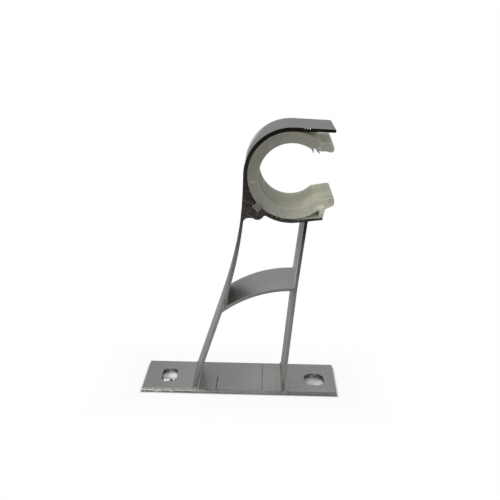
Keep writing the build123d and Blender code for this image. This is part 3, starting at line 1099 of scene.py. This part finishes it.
def growth_tree(material):
    """A node tree that sets small lumps along a path of edges, each turned and sized at random."""
    tree = bpy.data.node_groups.new("edge_growth", "GeometryNodeTree")
    kinds = {"Geometry": "Geometry", "Spacing": "Float", "Width": "Float", "Seed": "Int"}
    for name, kind in kinds.items():
        tree.interface.new_socket(name, in_out="INPUT", socket_type="NodeSocket" + kind)
    tree.interface.new_socket("Geometry", in_out="OUTPUT", socket_type="NodeSocketGeometry")
    group = add_node(tree, "NodeGroupInput").outputs
    path = add_node(tree, "GeometryNodeMeshToCurve", {"Mesh": group["Geometry"]}).outputs["Curve"]
    spaced = {"Curve": path, "Length": group["Spacing"]}
    points = add_node(tree, "GeometryNodeResampleCurve", spaced, mode="LENGTH").outputs["Curve"]
    turns = {"Min": (-0.2, -0.2, -3.0), "Max": (0.2, 0.2, 3.0), "Seed": group["Seed"]}
    turn = add_node(tree, "FunctionNodeRandomValue", turns, data_type="FLOAT_VECTOR").outputs[0]
    sizes = {"Min": (0.7, 0.6, 0.4), "Max": (1.2, 1.0, 1.0), "Seed": plus(tree, group["Seed"], 7)}
    size = add_node(tree, "FunctionNodeRandomValue", sizes, data_type="FLOAT_VECTOR").outputs[0]
    ball = {"Radius": times(tree, group["Width"], 0.5), "Subdivisions": 2}
    lump = add_node(tree, "GeometryNodeMeshIcoSphere", ball).outputs["Mesh"]
    placed = {"Points": points, "Instance": lump, "Rotation": turn, "Scale": size}
    copies = add_node(tree, "GeometryNodeInstanceOnPoints", placed).outputs["Instances"]
    result = add_node(tree, "GeometryNodeRealizeInstances", {"Geometry": copies}).outputs["Geometry"]
    dressed = add_node(tree, "GeometryNodeSetMaterial", {"Geometry": result, "Material": material})
    add_node(tree, "NodeGroupOutput", {"Geometry": dressed.outputs["Geometry"]})
    return tree


def path_mesh(name, points):
    """A mesh of edges only, in one chain through the points."""
    mesh = bpy.data.meshes.new(name)
    mesh.from_pydata(points, [(i, i + 1) for i in range(len(points) - 1)], [])
    return mesh


def grown(name, points, spacing, width, material):
    """A plain mesh of small lumps that have grown along the path through the points."""
    group = growth_tree(material)
    piece = new_object(name + "_path", path_mesh(name + "_path", points))
    modifier = piece.modifiers.new("growth", "NODES")
    modifier.node_group = group
    values = {"Spacing": spacing, "Width": width, "Seed": look().bracket.seed}
    for item in group.interface.items_tree:
        if item.in_out == "INPUT" and item.name in values:
            modifier[item.identifier] = values[item.name]
    mesh = evaluated_copy(piece, name)
    bpy.data.objects.remove(piece)
    return mesh


class POLE_BRACKET_OT_burrs(bpy.types.Operator):
    """Makes the burrs at the left slot's rim, one of them a dark lump painted as shadow, and along the
    plate's sawn edge
    """

    bl_idname = "pole_bracket.burrs"
    bl_label = "Burrs"

    def execute(self, context):
        burrs = look().burrs
        fresh = fresh_aluminium()
        # A dark lump stands for the shadow in a notch of the slot's rim
        dark = painted_tone_aluminium("shadow_lump", (0.05, 0.05, 0.048))

        def pick_burr(face):
            return 1 if SHADOW_LUMP_FROM < face.calc_center_median().x < SHADOW_LUMP_TO else 0

        slot_mesh = lumps("slot_burrs_and_shadow", SLOT_BURRS_AND_SHADOW, [fresh, dark], pick_burr)
        fringe = [(x * MM, FRONT + 0.26 * MM, PLATE_TOP - 0.12 * MM) for x in (-40.9, -30.0, -21.5)]
        fringe_mesh = grown("edge_burrs", fringe, burrs.fringe_spacing, burrs.fringe_size, fresh)
        for mesh in (slot_mesh, fringe_mesh):
            piece = new_object(mesh.name, mesh)
            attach(piece, "root")
        return {"FINISHED"}


def seen_white(tree, surface, camera_share, mirror_share):
    """Lets camera rays, and mirror and see-through rays, find a share of plain white on a surface."""
    ray = add_node(tree, "ShaderNodeLightPath").outputs
    reflected = larger(tree, ray["Is Glossy Ray"], ray["Is Transmission Ray"])
    seen = times(tree, ray["Is Camera Ray"], camera_share)
    share = larger(tree, seen, times(tree, reflected, mirror_share))
    white = add_node(tree, "ShaderNodeEmission", {"Strength": 1.0}).outputs[0]
    return add_node(tree, "ShaderNodeMixShader", {0: share, 1: surface, 2: white}).outputs[0]


class POLE_BRACKET_OT_stage(bpy.types.Operator):
    """Sets the floor, the lights, the world and the camera"""

    bl_idname = "pole_bracket.stage"
    bl_label = "Stage"

    def execute(self, context):
        settings = look().stage
        self.add_camera(context, settings)
        self.add_floor(settings)
        self.add_lights()
        self.add_world(context)
        context.scene.view_settings.view_transform = "Standard"
        return {"FINISHED"}

    def add_camera(self, context, settings):
        """The camera stands where the photograph was taken from."""
        data = bpy.data.cameras.new("camera")
        data.lens = settings.camera_lens
        data.sensor_width = 36.0
        camera = new_object("camera", data)
        turn = (
            Matrix.Rotation(-settings.camera_pan, 4, "Z")
            @ Matrix.Rotation(math.pi / 2 - settings.camera_tilt, 4, "X")
            @ Matrix.Rotation(settings.camera_roll, 4, "Z")
        )
        camera.matrix_world = Matrix.Translation(settings.camera_place) @ turn
        data.clip_start = 10 * MM
        context.scene.camera = camera

    def add_floor(self, settings):
        """A plain pale floor, which keeps its shadow near the plate and turns to plain white away from it,
        with a painted shadow under the plate and close round it, and painted light under the slots.
        """
        reach = settings.floor_reach
        corners = [(-reach, -reach), (reach, -reach), (reach, reach), (-reach, reach)]
        mesh = bpy.data.meshes.new("floor")
        mesh.from_pydata([(x, y, -0.02 * MM) for x, y in corners], [], [(0, 1, 2, 3)])
        material, tree, shader, place = new_material("floor_paper")
        along = axes(tree, place)
        beside = minus(tree, size_of(tree, along["X"]), PART_HIGH.x)
        before = minus(tree, size_of(tree, along["Y"]), BACK)
        outside = larger(tree, beside, before)
        near = remap(tree, outside, 0.15 * MM, 1.3 * MM, 0.0, 0.94)
        far = remap(tree, outside, 1.3 * MM, 25 * MM, 0.0, 0.06)
        # Painted shadow: the paper is painted darker under the plate and close round it
        painted_contact_shadow = remap(tree, outside, 0.2 * MM, 0.6 * MM, 0.85, 0.0)
        paper = tuple(settings.floor_color)
        shaded = blend(tree, painted_contact_shadow, paper, shade(paper, 0.25))
        fill(tree, shader, {"Base Color": shaded, "Roughness": 0.9})
        # Painted light under the slots, as shares of plain white
        slot_light_paint = 0.0
        for middle, reach, strength in SLOT_LIGHT:
            spot = closeness(tree, place, tuple(value * MM for value in middle), reach * MM, 0.7)
            slot_light_paint = larger(tree, slot_light_paint, times(tree, spot, strength))
        mirrored = remap(tree, outside, 40 * MM, 320 * MM, 0.1, 1.0)
        plain = plus(tree, plus(tree, near, far), slot_light_paint)
        surface = seen_white(tree, shader.outputs[0], plain, mirrored)
        fill(tree, tree.nodes["Material Output"], {"Surface": surface})
        mesh.materials.append(material)
        new_object("floor", mesh)

    def add_lights(self):
        """Soft lamps: a large one above, one at the left and one in front."""
        lamps = {
            "top_lamp": ((-0.10, -0.10, 0.80), (0.8, 0.8), 3.0),
            "left_lamp": ((-0.65, -0.25, 0.35), (0.5, 0.6), 2.2),
            "front_lamp": ((0.05, -0.80, 0.25), (0.6, 0.4), 3.0),
        }
        aim = Vector((0.0, 0.0, HEIGHT / 2))
        for name, (place, size, power) in lamps.items():
            data = bpy.data.lights.new(name, "AREA")
            data.shape = "RECTANGLE"
            data.size, data.size_y = size
            data.energy = power
            lamp = new_object(name, data)
            lamp.location = place
            lamp.rotation_euler = (aim - Vector(place)).to_track_quat("-Z", "Y").to_euler()

    def add_world(self, context):
        """White where it is seen, and a plain soft light elsewhere."""
        world = bpy.data.worlds.new("studio")
        world.use_nodes = True
        tree = world.node_tree
        light = tree.nodes["Background"]
        fill(tree, light, {"Color": (1.0, 1.0, 1.0, 1.0), "Strength": 0.5})
        heading = add_node(tree, "ShaderNodeTexCoord").outputs["Generated"]
        mirrored = remap(tree, axes(tree, heading)["Z"], 0.0, 0.4, 0.5, 1.0)
        surface = seen_white(tree, light.outputs[0], 1.0, mirrored)
        fill(tree, tree.nodes["World Output"], {"Surface": surface})
        context.scene.world = world


class POLE_BRACKET_PT_panel(bpy.types.Panel):
    """Lists the pieces of the bracket"""

    bl_label = "Pole Bracket"
    bl_idname = "POLE_BRACKET_PT_panel"
    bl_space_type = "VIEW_3D"
    bl_region_type = "UI"
    bl_category = "Pole Bracket"

    def draw(self, context):
        for operator in OPERATORS:
            self.layout.operator(operator.bl_idname)


OPERATORS = (
    POLE_BRACKET_OT_extrusion,
    POLE_BRACKET_OT_liner,
    POLE_BRACKET_OT_burrs,
    POLE_BRACKET_OT_stage,
)
SETTINGS = (BracketLook, BurrLook, LinerLook, StageLook, PoleBracketSettings)
CLASSES = (*SETTINGS, *OPERATORS, POLE_BRACKET_PT_panel)


def register():
    for cls in CLASSES:
        bpy.utils.register_class(cls)
    bpy.types.Scene.pole_bracket = PointerProperty(type=PoleBracketSettings)


def unregister():
    del bpy.types.Scene.pole_bracket
    for cls in reversed(CLASSES):
        bpy.utils.unregister_class(cls)


def main():
    """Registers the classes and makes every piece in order."""
    register()
    bpy.ops.pole_bracket.extrusion()
    bpy.ops.pole_bracket.liner()
    bpy.ops.pole_bracket.burrs()
    bpy.ops.pole_bracket.stage()


if __name__ == "__main__":
    main()
